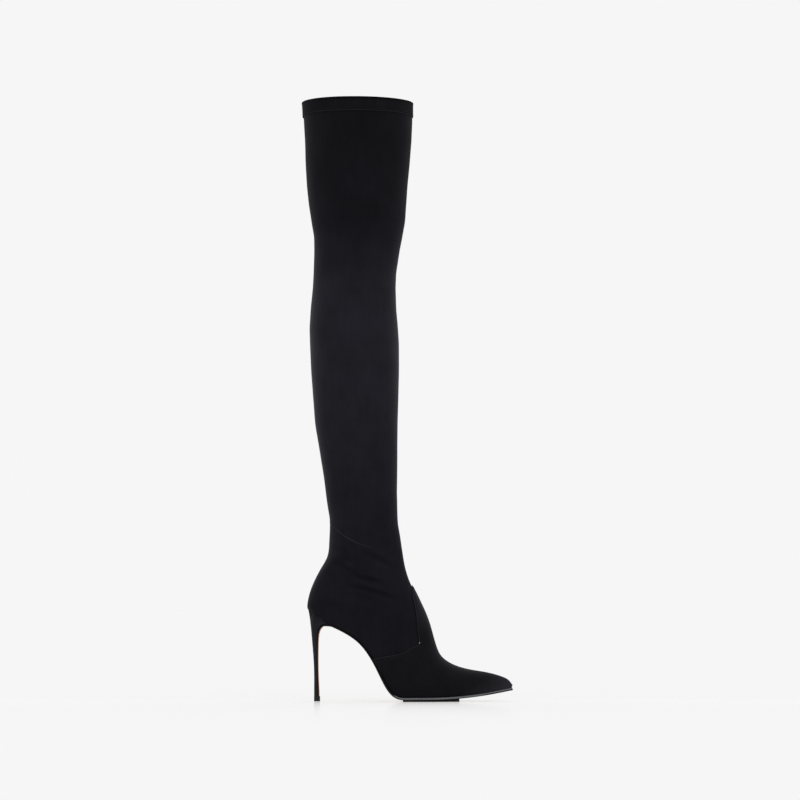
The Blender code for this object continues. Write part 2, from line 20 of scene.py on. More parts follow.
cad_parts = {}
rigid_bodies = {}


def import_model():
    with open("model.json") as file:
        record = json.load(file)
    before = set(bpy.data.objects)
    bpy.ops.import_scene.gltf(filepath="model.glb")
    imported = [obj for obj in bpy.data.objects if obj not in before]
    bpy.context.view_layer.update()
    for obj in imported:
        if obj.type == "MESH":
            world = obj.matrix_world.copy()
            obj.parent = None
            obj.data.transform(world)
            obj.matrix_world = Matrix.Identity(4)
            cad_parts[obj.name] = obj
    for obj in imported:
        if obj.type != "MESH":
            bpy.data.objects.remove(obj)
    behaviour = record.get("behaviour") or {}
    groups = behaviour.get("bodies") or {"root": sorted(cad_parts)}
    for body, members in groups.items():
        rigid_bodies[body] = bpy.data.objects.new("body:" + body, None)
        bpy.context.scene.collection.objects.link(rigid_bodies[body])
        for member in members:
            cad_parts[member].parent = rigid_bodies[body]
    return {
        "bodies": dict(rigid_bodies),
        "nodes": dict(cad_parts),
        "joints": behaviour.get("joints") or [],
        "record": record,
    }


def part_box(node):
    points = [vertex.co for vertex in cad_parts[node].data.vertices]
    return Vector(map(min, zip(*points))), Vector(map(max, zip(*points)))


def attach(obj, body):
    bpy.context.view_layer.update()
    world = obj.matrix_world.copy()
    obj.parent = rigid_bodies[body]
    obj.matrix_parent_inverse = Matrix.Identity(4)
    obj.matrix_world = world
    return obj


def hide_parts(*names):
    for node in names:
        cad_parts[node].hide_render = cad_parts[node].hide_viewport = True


LOG = logging.getLogger("boot")
Piece = bpy.types.Object
Shape = bmesh.types.BMesh
Socket = bpy.types.NodeSocket
Material = bpy.types.Material
Colour = tuple[float, float, float, float]
Point = tuple[float, float]

# Distances and angles that the mesh helpers share
MERGE_DISTANCE = 1e-5
SKIN_TURN = math.radians(62)
HOLD_ROUNDS = 2
FAR = 0.4
SMOOTHING = 2
SHARP_TURN = math.radians(50)
SHARP_CREASE = 0.85
JOIN_FACE_TURN = math.radians(50)
JOIN_SHAPE_TURN = math.radians(80)
PATH_STEP = 0.002
FINE_STEP = 0.001

# How far the nap's streaks are drawn out along the leg, and each pattern's share of colour and relief
STREAK_SQUEEZE = 0.18
STREAK_SCALE = 190.0
PATCH_SHARE = 0.62
STREAK_SHARE = 0.34
FIBRE_SHARE = 0.42
STREAK_RELIEF = 0.6
MOTTLE_RELIEF = 0.5


def screen(red: int, green: int, blue: int) -> Colour:
    """Turn 0-255 screen values into Blender's linear colour."""

    def linear(value: int) -> float:
        """One channel of it."""
        share = value / 255
        return share / 12.92 if share <= 0.04045 else ((share + 0.055) / 1.055) ** 2.4

    return (linear(red), linear(green), linear(blue), 1.0)


def grey(value: float) -> Colour:
    """Return a neutral colour of one linear value."""
    return (value, value, value, 1.0)


class Side(Enum):
    """The two sides of a right boot."""

    OUTER = -1
    INNER = 1


# Node groups and finishes


class Tree:
    """A node tree under construction, with short ways to add and join nodes."""

    def __init__(self, tree: bpy.types.NodeTree) -> None:
        """Wrap a tree.

        Args:
            tree: The material's or the group's node tree.
        """
        self.tree = tree

    def add(self, kind: str, values: dict | None = None, **settings: object) -> bpy.types.Node:
        """Add one node.

        Args:
            kind: The node's type name.
            values: Input sockets by name or number, with what they hold or a socket to link from.
            settings: Properties of the node itself.

        Returns:
            The new node.
        """
        node = self.tree.nodes.new(kind)
        for name, value in settings.items():
            setattr(node, name, value)
        for socket, value in (values or {}).items():
            if isinstance(value, Socket):
                self.tree.links.new(value, node.inputs[socket])
            else:
                node.inputs[socket].default_value = value
        return node

    def math(self, operation: str, first: object, second: object = 0.0) -> Socket:
        """Return the result of a maths node on two values or sockets."""
        return self.add("ShaderNodeMath", {0: first, 1: second}, operation=operation).outputs[0]

    def remap(self, value: Socket, low: float, high: float, to_low: float = 0.0,
              to_high: float = 1.0) -> Socket:
        """Return a value spread from one range to another."""
        return self.add("ShaderNodeMapRange", {"Value": value, "From Min": low, "From Max": high,
                                               "To Min": to_low, "To Max": to_high}).outputs[0]

    def mix(self, factor: object, first: object, second: object, blend: str = "MIX") -> Socket:
        """Return two colours mixed."""
        return self.add("ShaderNodeMix", {"Factor": factor, "A": first, "B": second}, data_type="RGBA",
                        blend_type=blend).outputs["Result"]

    def noise(self, vector: Socket, scale: object, detail: float, roughness: float = 0.5) -> Socket:
        """Return a noise pattern's value."""
        return self.add("ShaderNodeTexNoise", {"Vector": vector, "Scale": scale, "Detail": detail,
                                               "Roughness": roughness}).outputs["Fac"]

    def link(self, start: Socket, end: Socket) -> None:
        """Join two sockets."""
        self.tree.links.new(start, end)


def new_group(name: str, inputs: dict[str, object], outputs: dict[str, str]) -> tuple[Tree, dict, dict]:
    """Start a shader node group.

    Args:
        name: The group's name.
        inputs: Input names with their starting values: a float, a colour or None for a vector.
        outputs: Output names with their socket types.

    Returns:
        The group's tree, its input sockets and its output sockets by name.
    """
    group = bpy.data.node_groups.new(name, "ShaderNodeTree")
    for label, value in inputs.items():
        kind = "Vector" if value is None else "Float" if isinstance(value, float) else "Color"
        socket = group.interface.new_socket(label, in_out="INPUT", socket_type="NodeSocket" + kind)
        if value is not None:
            socket.default_value = value
    for label, kind in outputs.items():
        group.interface.new_socket(label, in_out="OUTPUT", socket_type="NodeSocket" + kind)
    tree = Tree(group)
    start, end = group.nodes.new("NodeGroupInput"), group.nodes.new("NodeGroupOutput")
    return tree, dict(start.outputs.items()), dict(end.inputs.items())


@cache
def nap_group() -> bpy.types.NodeTree:
    """Build the shared suede nap once: brushed patches, streaks along the leg and short fibres.

    Returns:
        The node group, with colour, roughness and height outputs.
    """
    tree, given, made = new_group(
        "suede nap",
        {"Vector": None, "Dark": screen(16, 16, 18), "Light": screen(30, 29, 33), "Patches": 28.0,
         "Fibres": 2600.0, "Brushing": 0.5},
        {"Colour": "Color", "Roughness": "Float", "Height": "Float"},
    )
    along = tree.add("ShaderNodeMapping", {"Vector": given["Vector"],
                                           "Scale": (1.0, 1.0, STREAK_SQUEEZE)}).outputs[0]
    patches = tree.noise(given["Vector"], given["Patches"], 5.0, 0.55)
    streaks = tree.noise(along, STREAK_SCALE, 4.0)
    fibres = tree.noise(given["Vector"], given["Fibres"], 2.0, 0.7)
    brushed = tree.math("MULTIPLY", tree.remap(patches, 0.32, 0.68, 0.0, PATCH_SHARE), given["Brushing"])
    share = tree.math("ADD", brushed, tree.math("MULTIPLY", streaks, STREAK_SHARE))
    share = tree.math("ADD", share, tree.math("MULTIPLY", fibres, FIBRE_SHARE))
    clipped = tree.add("ShaderNodeClamp", {"Value": share}).outputs[0]
    tree.link(tree.mix(clipped, given["Dark"], given["Light"]), made["Colour"])
    tree.link(tree.remap(clipped, 0.0, 1.0, 0.98, 0.84), made["Roughness"])
    tree.link(tree.math("ADD", fibres, tree.math("MULTIPLY", streaks, STREAK_RELIEF)), made["Height"])
    return tree.tree


@cache
def grain_group() -> bpy.types.NodeTree:
    """Build the shared leather and rubber grain once: fine cells, a soft mottle and rubbed patches.

    Returns:
        The node group, with colour, roughness and height outputs.
    """
    tree, given, made = new_group(
        "surface grain",
        {"Vector": None, "Base": screen(196, 150, 128), "Worn": screen(170, 126, 104), "Cells": 1400.0,
         "Mottle": 60.0, "Smooth": 0.35, "Rough": 0.55},
        {"Colour": "Color", "Roughness": "Float", "Height": "Float"},
    )
    cells = tree.add("ShaderNodeTexVoronoi", {"Vector": given["Vector"],
                                              "Scale": given["Cells"]}).outputs["Distance"]
    mottle = tree.noise(given["Vector"], given["Mottle"], 6.0, 0.6)
    rubbed = tree.remap(mottle, 0.35, 0.7)
    tree.link(tree.mix(rubbed, given["Base"], given["Worn"]), made["Colour"])
    tree.link(tree.remap(rubbed, 0.0, 1.0, given["Smooth"], given["Rough"]), made["Roughness"])
    tree.link(tree.math("ADD", cells, tree.math("MULTIPLY", mottle, MOTTLE_RELIEF)), made["Height"])
    return tree.tree


def principled(name: str, constants: dict[str, object]) -> tuple[Material, Tree, bpy.types.Node]:
    """Start a material from its Principled shader.

    Args:
        name: The material's name.
        constants: Values that are the same all over, set on the shader's own sockets.

    Returns:
        The material, its tree and its shader node.
    """
    made = bpy.data.materials.new(name)
    made.use_nodes = True
    shader = made.node_tree.nodes["Principled BSDF"]
    for socket, value in constants.items():
        shader.inputs[socket].default_value = value
    return made, Tree(made.node_tree), shader


def place_group(tree: Tree, shader: bpy.types.Node, group: bpy.types.NodeTree, values: dict[str, object],
                bump: float, depth: float) -> bpy.types.Node:
    """Put a shared group into a material and join it to the shader.

    Args:
        tree: The material's tree.
        shader: Its Principled shader.
        group: The shared group.
        values: The group's own values in this material.
        bump: Strength of the relief.
        depth: Height of the relief in metres.

    Returns:
        The group's node.
    """
    place = tree.add("ShaderNodeTexCoord")
    node = tree.add("ShaderNodeGroup", node_tree=group)
    tree.link(place.outputs["Object"], node.inputs["Vector"])
    for socket, value in values.items():
        node.inputs[socket].default_value = value
    relief = tree.add("ShaderNodeBump", {"Strength": bump, "Distance": depth,
                                         "Height": node.outputs["Height"]})
    tree.link(node.outputs["Colour"], shader.inputs["Base Color"])
    tree.link(node.outputs["Roughness"], shader.inputs["Roughness"])
    tree.link(relief.outputs[0], shader.inputs["Normal"])
    return node


@dataclass(frozen=True)
class Band:
    """The painted light and shade of the suede, and the painted sheen at its outline, at one place along a
    direction.
    """

    place: float
    # The next value is painted light and shade that multiplies the suede's colour; the one after is the
    # strength of a painted sheen at the outline
    tone: float
    edge: float


@dataclass(frozen=True)
class Suede:
    """A brushed suede finish; its bands of painted light, shade and sheen run along one direction from the
    lowest place up.
    """

    name: str
    dark: Colour
    light: Colour
    bands: tuple[Band, ...] = (Band(0.0, 1.0, 0.0), Band(1.0, 1.0, 0.0))
    along: tuple[float, float, float] = (0.0, 0.0, 1.0)
    sheen: float = 0.014
    sheen_tint: Colour = (0.78, 0.76, 0.92, 1.0)
    gloss: float = 0.05
    patches: float = 28.0
    brushing: float = 0.5
    bump: float = 0.35
    bump_depth: float = 0.0003
    # How fast the painted sheen fades inwards from the outline, and its colour
    painted_sheen_power: float = 3.6
    painted_sheen_colour: Colour = (0.90, 0.84, 1.0, 1.0)
    fold_shade: float = 0.40

    def build(self) -> Material:
        """Make the material.

        Returns:
            The material.
        """
        made, tree, shader = principled(self.name, {
            "Sheen Weight": self.sheen, "Sheen Roughness": 0.42, "Sheen Tint": self.sheen_tint,
            "Specular IOR Level": self.gloss, "Metallic": 0.0,
        })
        values = {"Dark": self.dark, "Light": self.light, "Patches": self.patches,
                  "Brushing": self.brushing}
        nap = place_group(tree, shader, nap_group(), values, self.bump, self.bump_depth)
        self.shade(tree, shader, nap)
        return made

    def shade(self, tree: Tree, shader: bpy.types.Node, nap: bpy.types.Node) -> None:
        """Paint light and shade along the bands, paint shade into the folds' troughs and light onto their
        ridges, and add a painted sheen at the outline.

        Args:
            tree: The material's tree.
            shader: Its Principled shader.
            nap: The nap group's node.
        """
        place = tree.add("ShaderNodeTexCoord")
        travel = tree.add("ShaderNodeVectorMath", {0: place.outputs["Object"], 1: self.along},
                          operation="DOT_PRODUCT")
        low, high = self.bands[0].place, self.bands[-1].place
        ramp = tree.add("ShaderNodeValToRGB", {"Fac": tree.remap(travel.outputs["Value"], low, high)})
        stops = ramp.color_ramp.elements
        while len(stops) < len(self.bands):
            stops.new(0.5)
        for stop, band in zip(stops, self.bands):
            stop.position = (band.place - low) / (high - low)
            stop.color = (band.tone, band.edge, 0.0, 1.0)
        # Red carries the painted light and shade, green the painted sheen at the outline
        amount = tree.add("ShaderNodeSeparateColor", {0: ramp.outputs["Color"]})
        # The folds' depth paints shade into the troughs and light onto the ridges
        fold = tree.add("ShaderNodeAttribute", attribute_name="fold")
        folded = tree.math("ADD", tree.math("MULTIPLY", fold.outputs["Fac"], self.fold_shade), 1.0)
        tone = tree.math("MULTIPLY", amount.outputs["Red"], folded)
        nap_with_painted_light = tree.mix(1.0, nap.outputs["Colour"], tone, "MULTIPLY")
        # Painted sheen: a light colour added to the base colour towards the outline
        turned = tree.add("ShaderNodeLayerWeight", {"Blend": 0.5})
        rim = tree.math("POWER", turned.outputs["Facing"], self.painted_sheen_power)
        share = tree.math("MULTIPLY", rim, amount.outputs["Green"])
        tree.link(tree.mix(share, nap_with_painted_light, self.painted_sheen_colour, "ADD"), shader.inputs["Base Color"])


@dataclass(frozen=True)
class Grained:
    """A smooth leather, paint, thread or rubber finish with a fine grain."""

    name: str
    base: Colour
    worn: Colour
    smooth: float = 0.35
    rough: float = 0.55
    cells: float = 1400.0
    mottle: float = 60.0
    gloss: float = 0.5
    coat: float = 0.0
    bump: float = 0.2
    bump_depth: float = 0.0002

    def build(self) -> Material:
        """Make the material.

        Returns:
            The material.
        """
        made, tree, shader = principled(self.name, {
            "Specular IOR Level": self.gloss, "Coat Weight": self.coat, "Coat Roughness": 0.12,
            "Metallic": 0.0,
        })
        values = {"Base": self.base, "Worn": self.worn, "Cells": self.cells, "Mottle": self.mottle,
                  "Smooth": self.smooth, "Rough": self.rough}
        place_group(tree, shader, grain_group(), values, self.bump, self.bump_depth)
        return made


# The stretched suede gets painted light and shade: lightest at the calf and darkest at the thigh and the foot
LEG_BANDS = (
    Band(0.0, 0.84, 0.025),
    Band(0.10, 0.88, 0.035),
    Band(0.20, 1.05, 0.045),
    Band(0.30, 1.38, 0.052),
    Band(0.39, 1.48, 0.075),
    Band(0.46, 1.42, 0.048),
    Band(0.53, 0.74, 0.018),
    Band(0.664, 0.64, 0.018),
)
# From the toe tip back and up to the tongue: both catch more light than the sides
VAMP_BANDS = (
    Band(-0.114, 3.3, 0.030),
    Band(-0.100, 1.9, 0.025),
    Band(-0.086, 0.95, 0.030),
    Band(-0.060, 0.85, 0.035),
    Band(0.004, 0.92, 0.050),
    Band(0.020, 1.35, 0.110),
    Band(0.052, 1.55, 0.130),
)
UP_THE_TONGUE = (-0.6, 0.0, 1.0)
# The heel's cover matches the upper's painted tone at the seat and gets a painted highlight down the stem
HEEL_BANDS = (
    Band(0.0, 2.1, 0.02),
    Band(0.060, 1.9, 0.02),
    Band(0.084, 1.25, 0.02),
    Band(0.098, 0.95, 0.03),
    Band(0.130, 0.90, 0.03),
)
# The hem gets painted shade where it folds over the rim, darkest there
HEM_BANDS = (Band(0.0, 1.0, 0.0), Band(0.6620, 1.0, 0.0), Band(0.6636, 0.45, 0.0), Band(0.6660, 0.45, 0.0))

UPPER_SUEDE = Suede("boot_suede", screen(15, 15, 18), screen(29, 28, 34), LEG_BANDS)
# The seam ridges' lighter suede is a painted highlight along the seams
SEAM_HIGHLIGHT_SUEDE = Suede("seam_suede_painted_highlight", screen(30, 28, 33), screen(48, 45, 52), patches=90.0)
VAMP_SUEDE = Suede("vamp_suede", screen(13, 13, 15), screen(25, 24, 28), VAMP_BANDS, UP_THE_TONGUE,
                   patches=40.0)
BAND_SUEDE = Suede("band_suede", screen(11, 10, 13), screen(22, 21, 25), HEM_BANDS, patches=40.0,
                   brushing=0.4)
HEEL_SUEDE = Suede("heel_cover_suede", screen(15, 15, 18), screen(29, 28, 33), HEEL_BANDS, patches=90.0,
                   gloss=0.12)
LINING = Suede("knit_lining", screen(20, 19, 21), screen(34, 33, 36), patches=60.0, sheen=0.05)
THREAD = Grained("black_thread", screen(16, 16, 19), screen(25, 24, 28), 0.5, 0.6, cells=4000.0, gloss=0.2)
# Light grey tack thread: a painted glint where the wing meets the tongue
TACK_GLINT_THREAD = Grained("tack_thread_painted_glint", screen(104, 101, 105), screen(132, 130, 132), 0.3, 0.4, cells=4000.0)
SOLE_LEATHER = Grained("sole_leather_tan", screen(196, 150, 128), screen(176, 130, 108), 0.38, 0.55,
                       cells=1300.0, mottle=45.0)
# The glossy edge's upper half in light grey: a painted reflection of the pale surround on the black edge
EDGE_REFLECTION = Grained("sole_edge_painted_reflection", screen(72, 74, 77), screen(90, 92, 95), 0.25, 0.36,
                     cells=900.0, coat=0.3)
# The black edge paint, also used on the sole's foot side as painted shade between sole and upper
EDGE_BLACK_AND_SHADE = Grained("sole_edge_black_and_painted_shade", screen(12, 11, 13), screen(19, 18, 20), 0.5, 0.65, gloss=0.12)
BOARD = Grained("insole_leather_black", screen(52, 46, 44), screen(66, 58, 55), 0.5, 0.7)
TREAD_RUBBER = Grained("tread_rubber_black", screen(12, 12, 13), screen(20, 20, 21), 0.6, 0.8, cells=2200.0,
                       gloss=0.2)
TIP_RUBBER = Grained("tip_rubber_black", screen(16, 16, 18), screen(26, 25, 28), 0.5, 0.65, cells=2400.0,
                     gloss=0.25)


# Mesh helpers


def merged_copy(node: Piece) -> Shape:
    """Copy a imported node's mesh, join its loose triangles and turn them back into four-sided faces.

    Args:
        node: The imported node.

    Returns:
        The copy.
    """
    made = bmesh.new()
    made.from_mesh(node.data)
    bmesh.ops.remove_doubles(made, verts=made.verts, dist=MERGE_DISTANCE)
    bmesh.ops.join_triangles(made, faces=made.faces, angle_face_threshold=JOIN_FACE_TURN,
                             angle_shape_threshold=JOIN_SHAPE_TURN)
    made.normal_update()
    return made


def keep_outer_skin(shell: Shape) -> None:
    """Keep a shell's outer face: all that joins its outermost face without a sharp turn.

    Args:
        shell: The shell, which is changed.
    """
    seed = max(shell.faces, key=lambda face: face.calc_center_median().y)
    kept, waiting = {seed}, [seed]
    while waiting:
        for edge in waiting.pop().edges:
            if not edge.is_manifold or edge.calc_face_angle(0.0) > SKIN_TURN:
                continue
            for face in edge.link_faces:
                if face not in kept:
                    kept.add(face)
                    waiting.append(face)
    bmesh.ops.delete(shell, geom=[face for face in shell.faces if face not in kept], context="FACES")


def linked(name: str, data: bpy.types.ID) -> Piece:
    """Return a new object in the scene that holds a mesh, a curve, a lamp or a camera."""
    made = bpy.data.objects.new(name, data)
    bpy.context.scene.collection.objects.link(made)
    return made


def to_object(name: str, source: Shape, *materials: Material) -> Piece:
    """Turn a bmesh into a linked object and free it.

    Args:
        name: The object's name.
        source: Its shape.
        materials: Its materials, in the order of its faces' indices.

    Returns:
        The object.
    """
    mesh = bpy.data.meshes.new(name)
    for material in materials:
        mesh.materials.append(material)
    source.to_mesh(mesh)
    source.free()
    return linked(name, mesh)


def evaluated_mesh(piece: Piece) -> bpy.types.Mesh:
    """Return what a piece's modifiers or its curve's bevel make, as a new mesh."""
    piece.data.update_tag()
    bpy.context.view_layer.update()
    return bpy.data.meshes.new_from_object(piece.evaluated_get(bpy.context.evaluated_depsgraph_get()))


def apply_modifiers(piece: Piece) -> None:
    """Replace a piece's mesh by what its modifiers make of it."""
    made = evaluated_mesh(piece)
    piece.modifiers.clear()
    piece.data = made


def subdivide(piece: Piece) -> None:
    """Smooth a piece with a subdivision surface that still goes through its points, and keep the result."""
    modifier = piece.modifiers.new("smooth", "SUBSURF")
    modifier.levels = modifier.render_levels = SMOOTHING
    wanted = coordinates(piece.data)
    cage = wanted.copy()
    for _ in range(HOLD_ROUNDS):
        smooth = evaluated_mesh(piece)
        cage += wanted - coordinates(smooth)[: len(wanted)]
        bpy.data.meshes.remove(smooth)
        set_coordinates(piece.data, cage)
    apply_modifiers(piece)


def thicken(piece: Piece, wall: float, inside_slot: int = 0) -> None:
    """Give an open skin its wall on the inner side and keep the result.

    Args:
        piece: The open skin.
        wall: The wall's thickness.
        inside_slot: How many material slots further on the inner face's material is.
    """
    modifier = piece.modifiers.new("wall", "SOLIDIFY")
    modifier.thickness = wall
    modifier.offset = -1.0
    modifier.use_even_offset = True
    modifier.thickness_clamp = 1.0
    modifier.material_offset = inside_slot
    apply_modifiers(piece)


def coordinates(mesh: bpy.types.Mesh) -> np.ndarray:
    """Return a mesh's vertex positions, one row each."""
    flat = np.zeros(len(mesh.vertices) * 3)
    mesh.vertices.foreach_get("co", flat)
    return flat.reshape(-1, 3)


def normals(mesh: bpy.types.Mesh) -> np.ndarray:
    """Return a mesh's vertex normals, one row each."""
    flat = np.zeros(len(mesh.vertices) * 3)
    mesh.vertex_normals.foreach_get("vector", flat)
    return flat.reshape(-1, 3)


def set_coordinates(mesh: bpy.types.Mesh, places: np.ndarray) -> None:
    """Move a mesh's vertices to new positions."""
    mesh.vertices.foreach_set("co", places.ravel())
    mesh.update()


def surface_tree(piece: Piece) -> BVHTree:
    """Return a search tree of a piece's own mesh."""
    source = bmesh.new()
    source.from_mesh(piece.data)
    made = BVHTree.FromBMesh(source)
    source.free()
    return made


def resample(points: list[Vector], step: float, closed: bool = False) -> list[Vector]:
    """Walk along a path in equal steps.

    Args:
        points: The path's corners.
        step: Wanted distance between the new points.
        closed: Whether the last point joins the first.

    Returns:
        The new points, without a repeated end on a closed path.
    """
    path = points + points[:1] if closed else points
    lengths = np.cumsum([0.0] + [(b - a).length for a, b in zip(path, path[1:])])
    count = max(2, round(lengths[-1] / step))
    wanted = np.linspace(0, lengths[-1], count + 1)
    table = np.array([tuple(point) for point in path])
    made = [Vector([np.interp(w, lengths, table[:, axis]) for axis in range(3)]) for w in wanted]
    return made[:-1] if closed else made


def rounded_path(points: list[Vector], rounds: int = 3) -> list[Vector]:
    """Cut a path's corners until it is smooth, keeping its ends.

    Args:
        points: The path's corners.
        rounds: How often the corners are cut.

    Returns:
        The smooth path.
    """
    path = list(points)
    for _ in range(rounds):
        cut = [path[0]]
        for a, b in zip(path, path[1:]):
            cut += [a.lerp(b, 0.25), a.lerp(b, 0.75)]
        path = cut + [path[-1]]
    return path


def thrown(x: float, z: float, side: Side, ground: BVHTree) -> Vector | None:
    """Return where a straight line from one side first meets a surface, or None where it misses."""
    return ground.ray_cast(Vector((x, side.value * FAR, z)), Vector((0, -side.value, 0)))[0]


def off_surface(path: list[Vector], ground: BVHTree, height: float) -> list[Vector]:
    """Return a path moved out of a surface by a height, or into it by one below zero."""
    return [spot + ground.find_nearest(spot)[1] * height for spot in path]


def dress(piece: Piece, slot: str, *nodes: str) -> None:
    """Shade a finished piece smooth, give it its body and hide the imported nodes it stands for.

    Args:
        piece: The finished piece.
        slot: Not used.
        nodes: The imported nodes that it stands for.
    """
    for face in piece.data.polygons:
        face.use_smooth = True
    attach(piece, "root")
    if nodes:
        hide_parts(*nodes)
    LOG.info("%s: %d faces", piece.name, len(piece.data.polygons))


# Folds

# How a fold fades at its ends, where its ridge lies in fold widths, and how fast it fades round the leg
FOLD_FADE = 0.7
RIDGE_PLACE = 1.7
RIDGE_WIDTH = 0.8
FOLD_TURN_GAIN = 1.6
# Depth of a fold at which its painted shade is darkest
FULL_SHADE_DEPTH = 0.0016


@dataclass(frozen=True)
class Fold:
    """A soft trough with a ridge on both sides, along a line seen from the side."""

    line: tuple[Point, ...]
    width: float
    depth: float
    ridge: float = 0.45
    sides: tuple[Side, ...] = (Side.OUTER, Side.INNER)

    def shift(self, places: np.ndarray, facing: np.ndarray) -> np.ndarray:
        """How far each point moves outwards.

        Args:
            places: The skin's points.
            facing: The skin's outward directions.

        Returns:
            One distance for each point, below zero in the trough.
        """
        flat = places[:, [0, 2]]
        nearest = np.full(len(flat), np.inf)
        travel = np.zeros(len(flat))
        corners = [np.array(point) for point in self.line]
        lengths = [np.linalg.norm(b - a) for a, b in zip(corners, corners[1:])]
        total, done = sum(lengths), 0.0
        for a, b, length in zip(corners, corners[1:], lengths):
            share = np.clip(((flat - a) @ (b - a)) / length**2, 0, 1)
            gap = np.linalg.norm(flat - (a + share[:, None] * (b - a)), axis=1)
            closer = gap < nearest
            nearest = np.where(closer, gap, nearest)
            travel = np.where(closer, (done + share * length) / total, travel)
            done += length
        fade = np.sin(np.clip(travel, 0, 1) * math.pi) ** FOLD_FADE
        reach = nearest / self.width
        profile = -np.exp(-(reach**2)) + self.ridge * np.exp(-(((reach - RIDGE_PLACE) / RIDGE_WIDTH) ** 2))
        weight = np.zeros(len(flat))
        for side in self.sides:
            weight += np.clip(side.value * facing[:, 1] * FOLD_TURN_GAIN, 0, 1)
        return self.depth * fade * profile * np.clip(weight, 0, 1)


ANKLE_FOLDS = (
    Fold(((0.008, 0.163), (0.024, 0.152), (0.031, 0.149), (0.041, 0.1425), (0.047, 0.138), (0.063, 0.134),
          (0.076, 0.131)), 0.0022, 0.0011),
    Fold(((0.050, 0.138), (0.062, 0.134), (0.073, 0.131)), 0.0036, 0.0007),
    Fold(((0.033, 0.128), (0.048, 0.126), (0.064, 0.122), (0.078, 0.117), (0.090, 0.113)), 0.0027, 0.0014),
    Fold(((0.040, 0.1225), (0.050, 0.1175), (0.066, 0.113)), 0.0046, 0.0005),
    Fold(((0.048, 0.166), (0.060, 0.162), (0.070, 0.157), (0.083, 0.150)), 0.0029, 0.0011),
    Fold(((0.014, 0.170), (0.024, 0.168), (0.036, 0.165)), 0.0026, 0.0006),
    Fold(((0.024, 0.161), (0.040, 0.157), (0.052, 0.151)), 0.0050, 0.0006),
    Fold(((0.002, 0.112), (0.018, 0.108), (0.036, 0.106)), 0.0040, 0.0004),
)
KNEE_FOLDS = (
    Fold(((0.094, 0.464), (0.084, 0.459), (0.072, 0.450)), 0.0030, 0.0006),
)
QUARTER_FOLDS = (
    Fold(((0.086, 0.058), (0.089, 0.054), (0.094, 0.057)), 0.0022, 0.0006, sides=(Side.OUTER,)),
)


# Thread and seams


def side_path(line: tuple[Point, ...], side: Side, ground: BVHTree) -> list[Vector]:
    """Throw a line drawn in the side view onto one side of a surface.

    Args:
        line: Its corners as X and Z.
        side: The side that it is thrown onto.
        ground: The surface.

    Returns:
        The points on the surface, in the line's order.
    """
    corners = rounded_path([Vector((x, 0, z)) for x, z in line])
    spots = [thrown(corner.x, corner.z, side, ground) for corner in resample(corners, PATH_STEP)]
    return [spot for spot in spots if spot is not None]


def girdle(line: tuple[Point, ...], ground: BVHTree) -> list[Vector]:
    """Carry a line drawn in the side view all round a leg.

    Args:
        line: Its corners as X and Z, from the back to the front.
        ground: The leg's surface.

    Returns:
        The closed path's points.
    """
    front = ground.ray_cast(Vector((FAR, 0, line[-1][1])), Vector((-1, 0, 0)))[0]
    back = ground.ray_cast(Vector((-FAR, 0, line[0][1])), Vector((1, 0, 0)))[0]
    outer, inner = (side_path(line, side, ground) for side in Side)
    corners = [back] + outer + [front] + inner[::-1]
    return [ground.find_nearest(spot)[0] for spot in resample(corners, PATH_STEP, True)]


TAPERED_END = 0.15


def tapered(count: int, fade: float) -> list[float]:
    """Return shares of the full thickness along an open seam that grows thin towards both ends."""
    shares = [place / (count - 1) for place in range(count)]
    return [min(1.0, share / fade + TAPERED_END, (1 - share) / fade + TAPERED_END) for share in shares]


def seam_ridge(name: str, path: list[Vector], radius: float, shares: list[float], closed: bool,
               material: Material) -> Piece:
    """Lay a round ridge along a path.

    Args:
        name: The piece's name.
        path: Its centre line.
        radius: Its radius where it is full.
        shares: How much of the radius it has at each point.
        closed: Whether the path closes on itself.
        material: Its material.

    Returns:
        The ridge as a mesh object.
    """
    curve = bpy.data.curves.new(name, "CURVE")
    curve.dimensions = "3D"
    curve.bevel_depth = radius
    curve.bevel_resolution = 2
    curve.use_fill_caps = True
    spline = curve.splines.new("POLY")
    spline.points.add(len(path) - 1)
    spline.use_cyclic_u = closed
    for point, spot, share in zip(spline.points, path, shares):
        point.co = (*spot, 1.0)
        point.radius = share
    holder = linked(name, curve)
    mesh = evaluated_mesh(holder)
    bpy.data.objects.remove(holder)
    mesh.name = name
    mesh.materials.clear()
    mesh.materials.append(material)
    return linked(name, mesh)


STITCH_FACES = (6, 5)
TACK_FACES = (12, 8)


def lay_bead(target: Shape, spot: Vector, lift: Vector, axes: tuple[Vector, Vector, Vector],
             size: tuple[float, float, float], segments: tuple[int, int]) -> None:
    """Lay a small stretched ball on a surface.

    Args:
        target: The mesh that it is added to.
        spot: Its place on the surface.
        lift: How far it stands off the surface, and which way.
        axes: The directions of its length and its two widths.
        size: Its length and its two widths.
        segments: How many faces it has round and from end to end.
    """
    turn = Matrix(axes).transposed().to_4x4()
    stretch = Matrix.Diagonal((size[0] / 2, size[1] / 2, size[2] / 2, 1.0))
    bmesh.ops.create_uvsphere(target, u_segments=segments[0], v_segments=segments[1], radius=1.0,
                              matrix=Matrix.Translation(spot + lift) @ turn @ stretch)


